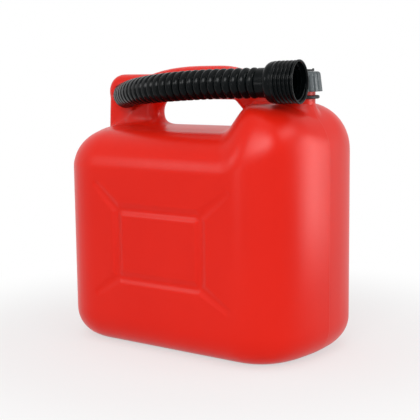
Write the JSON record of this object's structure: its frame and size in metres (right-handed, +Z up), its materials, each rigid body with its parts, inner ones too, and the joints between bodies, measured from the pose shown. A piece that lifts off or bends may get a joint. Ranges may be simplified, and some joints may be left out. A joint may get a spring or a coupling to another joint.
{
  "type": "fuel canister",
  "caption": "Blow-moulded fuel canister with a hollow handle, a leashed screw cap and a flexible pouring spout stowed beside the handle.",
  "frame": {"origin": "under the middle of the base, on the surface that the canister stands on", "axes": "+Z up, +X towards the end with the neck, -Y towards the side where the spout is stowed"},
  "size_m": [0.297, 0.1758, 0.2978],
  "materials": {
    "tank_plastic": "satin red blow-moulded polyethylene",
    "cap_plastic": "dark grey moulded polypropylene",
    "leash_plastic": "black moulded polyethylene",
    "spout_plastic": "glossy black flexible polyethylene",
    "seal_rubber": "matte black rubber"
  },
  "bodies": {
    "canister": {"tank_shell": "tank_plastic", "leash_ring": "leash_plastic", "leash_strap": "leash_plastic"},
    "cap_carrier": {"leash_disc": "leash_plastic"},
    "cap": {"screw_cap": "cap_plastic", "cap_seal": "seal_rubber"},
    "spout": {"spout_hose": "spout_plastic", "spout_socket": "spout_plastic", "spout_seal": "seal_rubber"}
  },
  "joints": [
    {"name": "cap_lift", "type": "slide", "parent": "canister", "child": "cap_carrier", "axis": [0, 0, 1], "range_m": [0, 0.009], "deforming": ["leash_strap"]},
    {"name": "cap_turn", "type": "hinge", "parent": "cap_carrier", "child": "cap", "pos_m": [0.1113, 0, 0.276], "axis": [0, 0, 1], "range_deg": [0, 810]},
    {"name": "spout_lift_off", "type": "slide", "parent": "canister", "child": "spout", "axis": [0, -1, 0], "range_m": [0, 0.08]}
  ],
  "couplings": [
    {"joint": "cap_lift", "follows": "cap_turn", "m_per_rad": 0.00063662}
  ]
}
